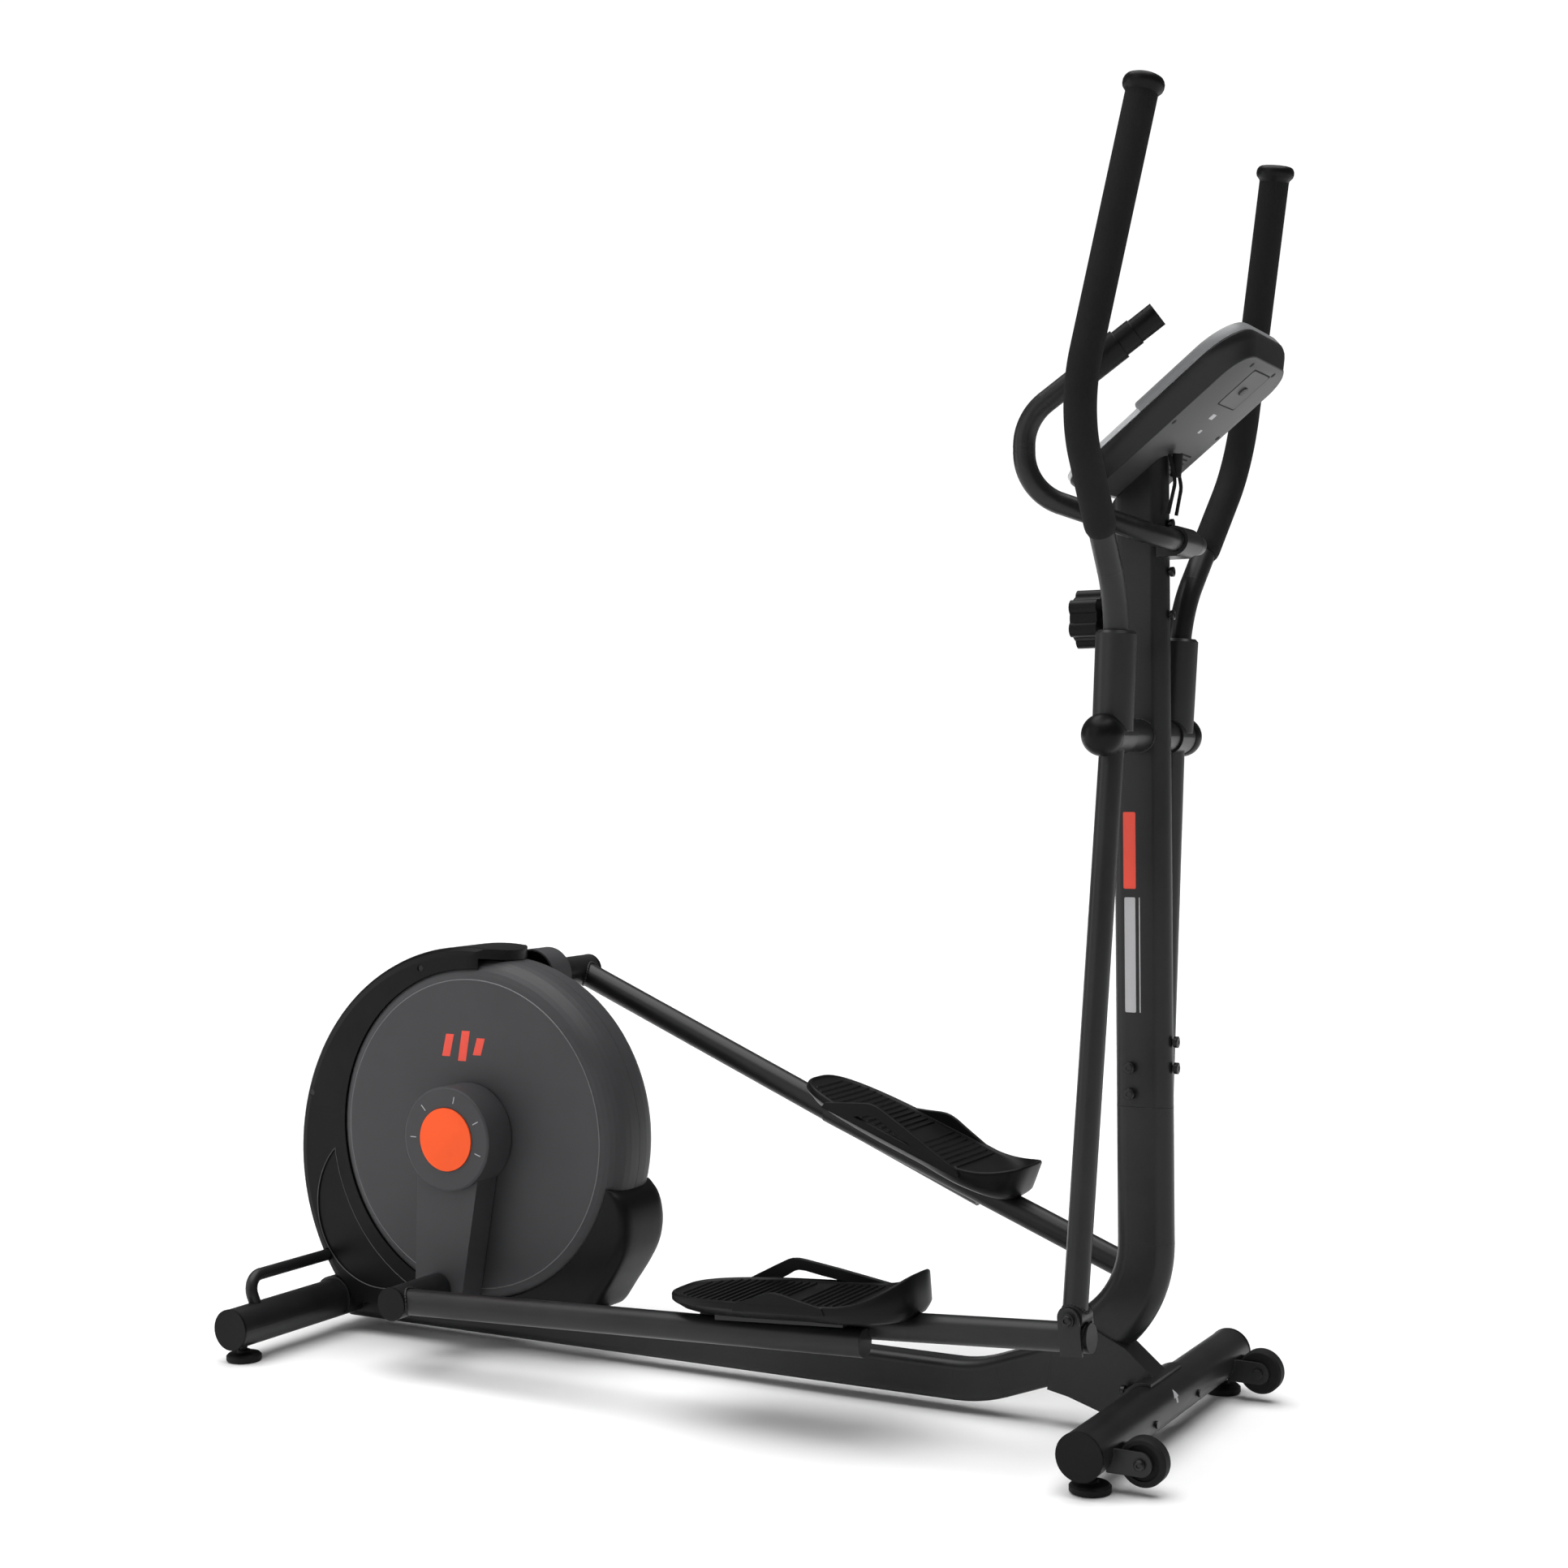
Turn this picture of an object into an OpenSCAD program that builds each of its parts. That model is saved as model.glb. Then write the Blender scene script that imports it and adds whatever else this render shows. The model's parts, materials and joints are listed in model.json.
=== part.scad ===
// Rear-drive elliptical trainer, free standing.
// +X is forward (console end), +Y is the user's left, +Z is up, floor at Z 0.

/* [Stance] */
// distance between the two stabilizer tubes
wheelbase = 1345; // [1200:5:1450]
// stabilizer tube diameter
stab_d = 60; // [50:1:70]
// front stabilizer length over its caps
front_w = 568; // [480:2:640]
// rear stabilizer length over its caps
rear_w = 576; // [480:2:640]
// height of the stabilizer axes over the floor
stab_z = 51; // [45:1:60]

/* [Linkage] */
// crank radius, axle to pedal bar pin
crank_r = 228; // [180:1:240]
// crank angle at rest, 0 is vertical
crank_tilt = 6; // [0:1:12]
// crank axle position behind the front stabilizer
crank_x = 1069; // [1000:1:1100]
// crank axle height
crank_z = 330; // [300:1:360]
// swing arm pivot height
pivot_z = 916; // [880:1:950]
// swing arm pivot to lower joint
arm_len = 727; // [680:1:760]
// pedal bar pin to lower joint
bar_len = 1046; // [1000:1:1080]
// pedal bar offset from the middle
bar_y = 168; // [160:1:190]
// swing arm offset from the middle at the pivot
arm_y = 113; // [100:1:130]

/* [Tubes] */
// swing arm tube diameter
arm_d = 32; // [28:1:38]
// pedal bar tube diameter
bar_d = 38; // [32:1:42]
// foam grip diameter
grip_d = 40; // [34:1:46]
// tube wall
wall = 2; // [1.5:0.25:3]

/* [Mast] */
// mast section, front to back
mast_l = 76; // [60:1:90]
// mast section, side to side
mast_w = 38; // [30:1:50]

/* [Drive] */
// drum housing radius
drum_r = 264; // [240:1:280]
// drum face radius
face_r = 233; // [210:1:250]
// half thickness of the housing
drum_h = 61; // [55:1:70]
// outer shroud radius
shroud_r = 330; // [300:1:340]

/* [Console] */
// console width
con_w = 226; // [180:2:260]
// console length along its slope
con_l = 292; // [240:2:320]
// console slope from level
con_tilt = 38; // [25:1:50]

/* [Hidden] */
$fn = 64;
x_shift = 620;
px = -16;
pivot = [px, pivot_z];
crank = [-crank_x, crank_z];
pin_r = crank + crank_r * [-sin(crank_tilt), -cos(crank_tilt)];
pin_l = crank + crank_r * [sin(crank_tilt), cos(crank_tilt)];
function arm_tilt(p) = atan2(px - p[0], pivot_z - p[1])
  - acos((pow(arm_len, 2) + pow(norm(pivot - p), 2) - pow(bar_len, 2)) / (2 * arm_len * norm(pivot - p)));
th_r = arm_tilt(pin_r);
th_l = arm_tilt(pin_l);
low_r = pivot + arm_len * [-sin(th_r), -cos(th_r)];
low_l = pivot + arm_len * [-sin(th_l), -cos(th_l)];
be_r = atan2(low_r[1] - pin_r[1], low_r[0] - pin_r[0]);
be_l = atan2(low_l[1] - pin_l[1], low_l[0] - pin_l[0]);
stab_r = stab_d / 2;
fly = [-1262, 235];
fly_r = 118;
rail_z = 43;
mast_x = -18;
black = [0.05, 0.05, 0.055];
grey = [0.16, 0.16, 0.17];
steel = [0.6, 0.6, 0.62];

function unit(v) = v / norm(v);
function side(d) = unit(abs(d[1]) < 0.9 ? cross([0, 1, 0], d) : cross([1, 0, 0], d));

module place() translate([x_shift, 0, 0]) children();
module flip(s) {
  if (s < 0) children();
  else mirror([0, 1, 0]) children();
}
module both() {
  children();
  mirror([0, 1, 0]) children();
}
module ycyl(r, y0, y1, x = 0, z = 0) translate([x, y1, z]) rotate([90, 0, 0])
  cylinder(r = r, h = y1 - y0, $fn = r > 100 ? 200 : 64);
module xcyl(r, x0, x1, y = 0, z = 0) translate([x0, y, z]) rotate([0, 90, 0]) cylinder(r = r, h = x1 - x0);
module slab(y0, y1) translate([0, y1, 0]) rotate([90, 0, 0]) linear_extrude(y1 - y0) children();
module block(a, b) translate(a) cube(b - a);
module frame_at(o, x, y, z) {
  multmatrix([
    [x[0], y[0], z[0], o[0]], [x[1], y[1], z[1], o[1]], [x[2], y[2], z[2], o[2]], [0, 0, 0, 1]
  ]) children();
}
module along(o, d) {
  x = side(d);
  frame_at(o, x, cross(d, x), d) children();
}
module rod(a, b, r) along(a, unit(b - a)) cylinder(r = r, h = norm(b - a));
// round tube through the points P with bend radius R; a fine weld ring joins each bend
module bent(P, R, r) {
  n = len(P);
  D = [for (i = [0 : n - 2]) unit(P[i + 1] - P[i])];
  A = [for (i = [1 : n - 2]) acos(D[i - 1] * D[i])];
  T = [for (i = [0 : n - 1]) (i == 0 || i == n - 1) ? 0 : R * tan(A[i - 1] / 2)];
  for (i = [0 : n - 2]) rod(P[i] + D[i] * T[i], P[i + 1] - D[i] * T[i + 1], r);
  for (i = [1 : n - 2]) {
    s = P[i] - D[i - 1] * T[i];
    e = P[i] + D[i] * T[i];
    m = unit(D[i] - D[i - 1] * (D[i - 1] * D[i]));
    rod(s - D[i - 1] * 1.2, s + D[i - 1] * 1.2, r + 0.12);
    rod(e - D[i] * 1.2, e + D[i] * 1.2, r + 0.12);
    frame_at(s + m * R, -m, D[i - 1], cross(-m, D[i - 1]))
      rotate_extrude(angle = A[i - 1]) translate([R, 0]) circle(r = r);
  }
}
module oval(l, w) {
  square([l - w, w], center = true);
  for (s = [-1, 1]) translate([s * (l - w) / 2, 0]) circle(d = w);
}
module rounded(l, w, r) {
  square([l - 2 * r, w], center = true);
  square([l, w - 2 * r], center = true);
  for (i = [-1, 1], j = [-1, 1]) translate([i * (l / 2 - r), j * (w / 2 - r)]) circle(r = r);
}
module tapered(r1, r2, d) {
  b = acos((r1 - r2) / d);
  circle(r = r1);
  translate([d, 0]) circle(r = r2);
  p1 = (r1 - 0.08) * [cos(b), sin(b)];
  p2 = (r2 - 0.08) * [cos(b), sin(b)];
  polygon([[p1[0], -p1[1]], [d + p2[0], -p2[1]], [d + p2[0], p2[1]], p1]);
}
// bolt with its head at o, shank running along d
module bolt(o, d, r, l, hr, hh) along(o, d) {
  cylinder(r = r, h = l);
  translate([0, 0, -hh]) cylinder(r = hr, h = hh + 0.01);
}

// ---- base ----
module stabilizer(x, w, fy) {
  difference() {
    ycyl(stab_r, -w / 2 + 4, w / 2 - 4, x, stab_z);
    ycyl(stab_r - wall, -w / 2, w / 2, x, stab_z);
    for (s = [-1, 1]) translate([x, s * fy, 0]) cylinder(r = 5.06, h = stab_z);
  }
}
module stab_caps(x, w) both() {
  ycyl(stab_r + 0.5, -w / 2, -w / 2 + 4, x, stab_z);
  ycyl(stab_r - wall - 0.05, -w / 2 + 3.9, -w / 2 + 22, x, stab_z);
}
module front_stabilizer() color(black) place() {
  difference() {
    stabilizer(0, front_w, 248);
    for (y = [-100, 62]) rod([20, y, stab_z - 4], [40, y, stab_z - 4], 3.12);
  }
  wheel_forks();
}
module rear_stabilizer() color(black) place() stabilizer(-wheelbase, rear_w, 258);
module stabilizer_caps() color(black) place() {
  stab_caps(0, front_w);
  stab_caps(-wheelbase, rear_w);
}
module rear_handle() color(black) place() {
  x = -wheelbase - 14;
  difference() {
    bent([
      [x + 14, -229, 70], [x + 2, -238, 118], [x + 2, 238, 118], [x + 14, 229, 70]
    ], 24, 9);
    ycyl(stab_r, -300, 300, -wheelbase, stab_z);
  }
}
module foot(x, y) color(black) place() translate([x, y, 0]) {
  rotate_extrude() polygon([
    [0, 0], [24, 0], [26, 2], [26, 8], [23, 11], [11, 12], [9, 16], [5, 16], [5, 36], [4, 37], [0, 37]
  ]);
}
module foot_front_right() foot(0, -248);
module foot_front_left() foot(0, 248);
module foot_rear_right() foot(-wheelbase, -258);
module foot_rear_left() foot(-wheelbase, 258);
module wheel_forks() both() difference() {
  for (y = [-247, -217]) slab(y, y + 4) difference() {
    union() {
      translate([20, 26]) square([40, 30]);
      translate([63, 41]) circle(r = 15);
    }
    translate([63, 41]) circle(r = 4);
  }
  ycyl(stab_r - 0.5, -300, 300, 0, stab_z);
}
module wheel(s) color(black) place() flip(s) translate([63, -230, 41]) difference() {
  rotate([90, 0, 0]) translate([0, 0, -10.5]) rotate_extrude() polygon([
    [4.06, 0], [27, 0], [30, 3], [30, 18], [27, 21], [22, 21], [22, 18], [9, 18], [9, 21], [4.06, 21]
  ]);
}
module wheel_right() wheel(-1);
module wheel_left() wheel(1);
module wheel_bolts() color(steel) place() both() {
  ycyl(3.98, -247, -212.5, 63, 41);
  ycyl(7, -251, -247, 63, 41);
  ycyl(6.5, -213, -209, 63, 41);
}
module rail_section(o = 0) rounded(56 - 2 * o, 42 - 2 * o, 12 - o);
module rail_body(o) {
  translate([-wheelbase, 0, rail_z]) rotate([0, 90, 0]) linear_extrude(wheelbase - 290) rail_section(o);
  translate([-290, 0, rail_z + 200]) rotate([90, 0, 0]) rotate([0, 0, -90]) rotate_extrude(angle = 20)
    translate([200, 0]) rail_section(o);
  translate([-290 + 200 * sin(20), 0, rail_z + 200 - 200 * cos(20)]) rotate([0, 70, 0])
    linear_extrude(118) rail_section(o);
  translate([-291.2, 0, rail_z]) rotate([0, 90, 0]) linear_extrude(2.4) rail_section(-0.12);
  translate([-290 + 200 * sin(20), 0, rail_z + 200 - 200 * cos(20)]) rotate([0, 70, 0])
    translate([0, 0, -1.2]) linear_extrude(2.4) rail_section(-0.12);
}
module main_rail() color(black) place() {
  difference() {
    rail_body(0);
    translate([-wheelbase - 60, 0, rail_z]) rotate([0, 90, 0]) linear_extrude(wheelbase - 250)
      rounded(50, 36, 9);
    ycyl(stab_r, -60, 60, -wheelbase, stab_z);
    mast_curve(0.05);
    neck(0.05);
    block([-wheelbase - 40, -30, 0], [-wheelbase, 30, 90]);
  }
  // rear saddle around the stabilizer
  difference() {
    ycyl(stab_r + 4.5, -58, 58, -wheelbase, stab_z);
    ycyl(stab_r, -60, 60, -wheelbase, stab_z);
    block([-wheelbase - 60, -60, -20], [-wheelbase + 60, 60, 30]);
    block([-wheelbase, -21, 0], [-wheelbase + 60, 21, 71.2]);
  }
}
module base_bolts() {
  both() {
    bolt([-35, -36, stab_z + 14], [1, 0, 0], 3.98, 3.9, 8, 5);
    bolt([-wheelbase + 18, -44, stab_z + 36], unit([-1, 0, -2]), 4, 5.7, 7, 4);
  }
  for (y = [-100, 62]) bolt([stab_r + 0.2, y, stab_z - 4], [-1, 0, 0], 3, 3, 5, 3);
}

// ---- mast ----
module mast_section(o = 0) oval(mast_l - 2 * o, mast_w - 2 * o);
module mast_curve(g) {
  translate([mast_x - 152, 0, 255]) rotate([90, 0, 0]) rotate([0, 0, -66]) rotate_extrude(angle = 66)
    translate([152, 0]) mast_section(-g);
}
module neck(g) slab(-23 - g, 23 + g) polygon([
  [-150, 50], [-120, 44], [-76, 30], [-20, 26], [0, 51], [0, 84], [-8, 90], [-40, 117], [-90, 140], [-140, 110]
]);
module mast_lower() color(black) place() {
  difference() {
    union() {
      mast_curve(0);
      translate([mast_x, 0, 253.8]) linear_extrude(2.4) mast_section(-0.12);
      translate([mast_x, 0, 255]) linear_extrude(433 - 255) mast_section();
      translate([mast_x, 0, 420]) linear_extrude(100) mast_section(wall + 0.3);
      // neck box down to the front stabilizer
      neck(0);
      // saddle plate over the tube
      difference() {
        ycyl(stab_r + 4.5, -58, 58, 0, stab_z);
        block([8, -60, 0], [60, 60, 110]);
        block([-60, -60, 0], [60, 60, 32]);
      }
    }
    translate([mast_x, 0, 260]) linear_extrude(270) mast_section(2 * wall + 0.5);
    ycyl(stab_r, -300, 300, 0, stab_z);
    both() along([-42, -36, stab_z + 14], [1, 0, 0]) cylinder(r = 4, h = 20);
  }
}
module mast_upper() color(black) place() difference() {
  union() {
    translate([mast_x, 0, 433.3]) linear_extrude(1286 - 433) mast_section();
    ycyl(21, -84, 84, px, pivot_z);
  }
  translate([mast_x, 0, 430]) linear_extrude(900) mast_section(wall);
  ycyl(10, -90, 90, px, pivot_z);
  xcyl(6.5, -70, -40, 0, 1071);
  console_volume(0.2);
  for (z = [450, 484]) ycyl(4, -30, 0, -31, z);
}
module mast_bolts() {
  for (z = [450, 484]) {
    bolt([-31, -mast_w / 2 - 3, z], [0, 1, 0], 3.9, 5, 7.5, 5);
    bolt([mast_x + mast_l / 2 + 2.6, 0, z + 34], [-1, 0, 0], 3.9, 2.6, 7.5, 5);
  }
  for (z = [1072, 1128, 1190]) bolt([mast_x + mast_l / 2 + 2.6, 0, z], [-1, 0, 0], 3.9, 2.6, 6.5, 4);
}
module frame_bolts() color(steel) place() {
  base_bolts();
  mast_bolts();
  housing_screws();
}
module arm_axle() color(steel) place() {
  ycyl(10, -146, 146, px, pivot_z);
  both() ycyl(13, -150, -143, px, pivot_z);
}
module arm_bushes() both() difference() {
  ycyl(16.95, -138, -86, px, pivot_z);
  ycyl(10, -139, -85, px, pivot_z);
}

// ---- fixed handlebar and console ----
hb = [
  [58, -150, 1430], [-103, -184, 1312], [-103, -184, 1222], [36, -84, 1166], [36, 84, 1166], [-103, 184, 1222],
  [-103, 184, 1312], [58, 150, 1430]
];
module fixed_handlebar() color(black) place() difference() {
  bent(hb, 66, 14);
  bent(concat([hb[0] - unit(hb[1] - hb[0])], [for (i = [1 : 6]) hb[i]], [hb[7] - unit(hb[6] - hb[7])]), 66, 14 - wall);
}
module pulse_grips() color(grey) place() both() {
  d = unit(hb[0] - hb[1]);
  a = hb[0] - d * 120;
  difference() {
    union() {
      rod(a, hb[0] - d * 30, 17.5);
      rod(a, a + d * 66, 20);
      rod(hb[0] - d * 30.1, hb[0] + d * 4, 16);
    }
    rod(a - d * 2, hb[0] + d * 0.3, 14.1);
  }
}
module handlebar_clamp() color(black) place() difference() {
  union() {
    ycyl(19, -26, 26, 36, 1166);
    block([mast_x + mast_l / 2 - 8, -26, 1146], [40, 26, 1183]);
  }
  ycyl(14.05, -60, 60, 36, 1166);
  translate([mast_x, 0, 1100]) linear_extrude(120) mast_section(-0.1);
}
module console_frame() translate([-60, 0, 1216]) rotate([0, -con_tilt, 0]) children();
module console_outline(o = 0) {
  l = con_l;
  w = con_w / 2;
  translate([24, -w + o]) square([l - 84, 2 * w - 2 * o]);
  translate([o, -w + 24]) square([l - 60 - o, 2 * w - 48]);
  translate([l - 62, -w + 60]) square([62 - o, 2 * w - 120]);
  for (s = [-1, 1]) {
    translate([24, s * (w - 24)]) circle(r = 24 - o);
    translate([l - 60, s * (w - 60)]) circle(r = 60 - o);
  }
}
module console_volume(g) console_frame() translate([0, 0, -g]) linear_extrude(60) console_outline(-g);
module console_back() color(grey) place() console_frame() difference() {
  union() {
    linear_extrude(28) console_outline();
    // step of the rear rim
    translate([0, 0, 27]) linear_extrude(3) console_outline(3);
  }
  translate([0, 0, 3]) linear_extrude(40) console_outline(6);
  translate([196, -22, -1]) cube([62, 62, 3.2]);
  for (i = [0 : 5]) translate([74 + i * 7, 28, -1]) cube([3, 40, 6]);
}
module console_face() color(grey) place() console_frame() difference() {
  union() {
    translate([0, 0, 30.1]) linear_extrude(8) console_outline(1);
    translate([0, 0, 38]) linear_extrude(7) intersection() {
      console_outline(3);
      translate([132, -200]) square([300, 400]);
    }
  }
  translate([150, -72, 43]) cube([112, 144, 10]);
  for (y = [-58, 58]) translate([62, y, 34]) cylinder(r = 13.2, h = 10);
  translate([104, 0, 34]) cylinder(r = 14.2, h = 10);
}
module console_screen() color([0.05, 0.06, 0.07, 0.5]) place() console_frame() {
  translate([150.2, -71.8, 43]) cube([111.6, 143.6, 2.4]);
}
module button_key(x, y, r) console_frame() translate([x, y, 35.5]) cylinder(r = r, h = 6);
module key_right() color([0.7, 0.7, 0.7]) place() button_key(62, -58, 13);
module key_left() color([0.7, 0.7, 0.7]) place() button_key(62, 58, 13);
module stop_button() color([0.8, 0.02, 0.05]) place() console_frame() translate([104, 0, 35.5]) {
  cylinder(r = 14, h = 5);
  translate([0, 0, 4.9]) cylinder(r1 = 14, r2 = 11, h = 3);
}
module battery_cover() color(grey) place() console_frame() translate([196.3, -21.7, 0]) {
  cube([61.4, 61.4, 2]);
  translate([22, 24, -1.5]) cube([14, 14, 1.6]);
}
module console_cables() color(black) place() {
  bent([[26, 11, 1279], [33, 13, 1238], [25, 15, 1202]], 30, 2.4);
  bent([[26, -11, 1279], [34, -13, 1242], [25, -15, 1202]], 30, 2.4);
  rod([33, 0, 1280], [30, 0, 1250], 7);
}
module tension_knob() color(black) place() translate([0, 0, 1071]) {
  translate([-68, 0, 0]) rotate([0, -90, 0]) difference() {
    linear_extrude(38) {
      circle(r = 31);
      for (i = [0 : 5]) rotate([0, 0, i * 60]) translate([28, 0]) circle(r = 10.5);
    }
    for (i = [0 : 4]) translate([-8, -30, 38 - 0.8]) translate([0, i * 12 + 4, 0]) cube([16, 3, 2]);
  }
  xcyl(14, -69, -56.2);
  xcyl(6.4, -57, -44);
}

// ---- drive ----
shell = [
  [30, 61], [228, 61], [232, 60.8], [233.5, 60], [240, 57.6], [247, 53.6], [253, 48], [258, 41], [261.5, 32],
  [263.5, 20], [264, 8], [264, 0.3], [261, 0.3], [261, 8], [260.5, 19], [258.6, 30.5], [255.4, 39],
  [250.8, 45.5], [245, 51], [238.6, 54.6], [232, 57.2], [228, 58], [30, 58]
];
k = drum_r / 264;
module drum_half(s) translate([crank[0], 0, crank[1]]) rotate([s < 0 ? 90 : -90, 0, 0])
  rotate_extrude() polygon([for (p = shell) [p[0] * k, p[1] * drum_h / 61]]);
module under() block([-1500, -90, -100], [-700, 90, rail_z + 33]);
module housing_half(s) color(grey) place() difference() {
  drum_half(s);
  under();
  block([-1450, -50, 60], [-1150, 50, 540]);
}
module housing_right() housing_half(-1);
module housing_left() housing_half(1);
module drum_room() {
  ycyl(drum_r + 0.6, -54, 54, crank[0], crank[1]);
  ycyl(248.5, -70, 70, crank[0], crank[1]);
}
module shroud_cut() {
  drum_room();
  under();
}
// rounded disc behind the drum, g is the inset
module shroud_disc(g) difference() {
  translate([-1080, 0, 281]) rotate([90, 0, 0]) rotate_extrude() polygon([
    [0, g - 57], [316 - g / 3, g - 57], [324 - g / 2, g - 55.2], [328.4 - g, g - 51], [shroud_r - g, g - 45],
    [shroud_r - g, 45 - g], [328.4 - g, 51 - g], [324 - g / 2, 55.2 - g], [316 - g / 3, 57 - g], [0, 57 - g]
  ]);
  // round nose where the top end meets the drum
  difference() {
    block([-1075, -80, 330], [-700, 80, 700]);
    translate([-1075, 0, 320]) cylinder(r = 56.9 - g, h = 400);
  }
  block([-1030, -80, -100], [-700, 80, 340]);
}
// leaf shaped recess low on each side
module leaf() both() difference() {
  ycyl(124, -60, -54.8, -1250, 200.6);
  ycyl(272, -61, -54, crank[0], crank[1]);
}
module shroud_rear() color(black) place() difference() {
  shroud_disc(0);
  shroud_disc(3);
  drum_room();
  block([-1500, -90, -100], [-700, 90, 52]);
  block([-1500, -31, 40], [-700, 31, rail_z + 33]);
  ycyl(stab_r + 6.5, -70, 70, -wheelbase, stab_z);
  ycyl(10.5, -80, 80, -wheelbase - 12, 118);
  leaf();
  for (p = [[-1166, 576], [-1384, 372]]) ycyl(5, -60, -40, p[0], p[1]);
}
module shroud_front() color(black) place() difference() {
  slab(-57, 57) polygon([
    [-820, 262], [-806, 252], [-797, 232], [-794, 204], [-800, 174], [-818, 142], [-866, 74], [-1029, 74],
    [-1029, 200], [-900, 262]
  ]);
  slab(-54, 54) polygon([
    [-822, 259], [-808, 249], [-800, 231], [-797, 204], [-803, 175], [-821, 143], [-868, 70], [-1026, 70],
    [-1026, 200], [-900, 259]
  ]);
  shroud_cut();
}
module housing_screws() {
  for (p = [[-1166, 576], [-1384, 372]]) ycyl(4.99, -55.5, -50, p[0], p[1]);
}
module drive_frame() color(black) place() {
  posts();
  idler_arm();
}
module posts() difference() {
  union() {
    block([-1094, -16, rail_z + 28], [-1044, 16, crank[1]]);
    ycyl(26, -40, 40, crank[0], crank[1]);
    for (y = [-39, 8]) {
      block([fly[0] - 20, y, rail_z + 28], [fly[0] + 20, y + 5, fly[1]]);
      ycyl(20, y, y + 5, fly[0], fly[1]);
    }
    block([fly[0] - 20, -39, rail_z + 28], [fly[0] + 20, 13, rail_z + 33]);
  }
  ycyl(21, -41, 41, crank[0], crank[1]);
  ycyl(6.06, -50, 50, fly[0], fly[1]);
}
module crank_bearings() both() difference() {
  ycyl(21, -40, -28, crank[0], crank[1]);
  ycyl(10.05, -41, -27, crank[0], crank[1]);
}
module bearings() color(steel) place() {
  arm_bushes();
  crank_bearings();
}
module crank_axle() ycyl(10, -86, 86, crank[0], crank[1]);
module crank_turned(s) translate([crank[0], 0, crank[1]]) rotate([0, crank_tilt + (s < 0 ? 90 : -90), 0]) children();
module crankset() color(steel) place() {
  for (s = [-1, 1]) crank_turned(s) flip(s) slab(-84, -71) tapered(28, 20, crank_r);
  crank_axle();
}
module crank_covers() color(grey) place() for (s = [-1, 1]) crank_turned(s) flip(s) difference() {
  union() {
    slab(-112, -64.5) tapered(60, 44, crank_r);
    ycyl(78, -120, -64.5);
    translate([0, -120, 0]) rotate([90, 0, 0]) cylinder(r1 = 78, r2 = 75, h = 2);
  }
  slab(-109, -60) tapered(57, 41, crank_r);
  ycyl(75, -117, -60);
  ycyl(47.2, -130, -119);
  ycyl(6.2, -130, -60);
}
module hub_caps() color([0.95, 0.23, 0.05]) place() both() translate([crank[0], 0, crank[1]]) {
  ycyl(47, -124, -119);
  ycyl(6, -119.2, -86.2);
}
module drive_pulley() color(grey) place() translate([crank[0], 0, crank[1]]) difference() {
  union() {
    ycyl(128, 43, 54);
    ycyl(22, 41, 56);
  }
  ycyl(118, 50, 60);
  for (i = [0 : 5]) rotate([0, i * 60, 0]) ycyl(24, 30, 60, 74);
  ycyl(10, 30, 60);
}
fd = norm(fly - crank);
fa = atan2(fly[1] - crank[1], fly[0] - crank[0]);
module belt() color(black) place() translate([crank[0], 0, crank[1]]) slab(44, 53) rotate(fa) difference() {
  tapered(131, 25, fd);
  tapered(128.2, 22.2, fd);
}
module flywheel() color(steel) place() translate([fly[0], 0, fly[1]]) {
  difference() {
    union() {
      ycyl(fly_r, -28, -4);
      ycyl(10, -33, 7);
    }
    ycyl(92, -40, -21);
    ycyl(92, -11, 0);
    ycyl(5, -60, 0);
  }
  difference() {
    ycyl(92.5, -20, -12);
    for (i = [0 : 4]) rotate([0, i * 72, 0]) ycyl(18, -30, 0, 56);
  }
  ycyl(6, -44, 56);
  ycyl(22, 43, 54);
}
ib = fa + acos((131 - 25) / fd);
ic = crank + 131 * [cos(ib), sin(ib)] + 110 * [sin(ib), -cos(ib)] + 25 * [cos(ib), sin(ib)];
module idler() color(grey) place() translate([ic[0], 0, ic[1]]) difference() {
  ycyl(24, 43, 54);
  ycyl(4.6, 30, 60);
}
module idler_arm() {
  ycyl(4, 30, 56, ic[0], ic[1]);
  slab(30, 36) translate(ic) rotate(atan2(crank[1] - 80 - ic[1], -1069 - ic[0])) tapered(10, 9.9, 137);
  block([-1070, 16, 226], [-1050, 36, 260]);
}
module brake() color(steel) place() translate([fly[0], 0, fly[1]]) {
  difference() {
    ycyl(132, -32, 2);
    ycyl(122, -40, 10);
    rotate([0, -20, 0]) block([-200, -60, -6], [200, 60, 200]);
    rotate([0, -62, 0]) block([-6, -60, -200], [200, 60, 200]);
  }
  // pin it swings on
  ycyl(8, -34, 4, 112.1, -59.6);
}

// ---- moving arms, bars and pedals ----
module arm_frame(t) translate([px, 0, pivot_z]) rotate([0, t, 0]) children();
module arm(s, t) color(black) place() arm_frame(t) flip(s) difference() {
  union() {
    translate([0, -arm_y, 6]) cylinder(r = 26, h = 122);
    translate([0, -arm_y, 127.9]) cylinder(r1 = 26, r2 = 22.4, h = 4);
    ycyl(24, -arm_y - 27, -arm_y + 27);
    rod([0, -arm_y, -12], [0, -bar_y, -arm_len + 8], arm_d / 2);
    ycyl(17, -bar_y - 18, -bar_y + 18, 0, -arm_len);
  }
  rod([0, -arm_y, -10], [0, -bar_y + 2, -arm_len + 40], arm_d / 2 - wall);
  ycyl(17, -arm_y - 40, -arm_y + 40);
  translate([0, -arm_y, 50]) cylinder(r = 16.15, h = 52);
  translate([0, -arm_y, 100]) cylinder(r1 = 16.15, r2 = 18.6, h = 34);
  ycyl(6.06, -bar_y - 30, -bar_y + 30, 0, -arm_len);
}
module arm_right() arm(-1, th_r);
module arm_left() arm(1, th_l);
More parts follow.
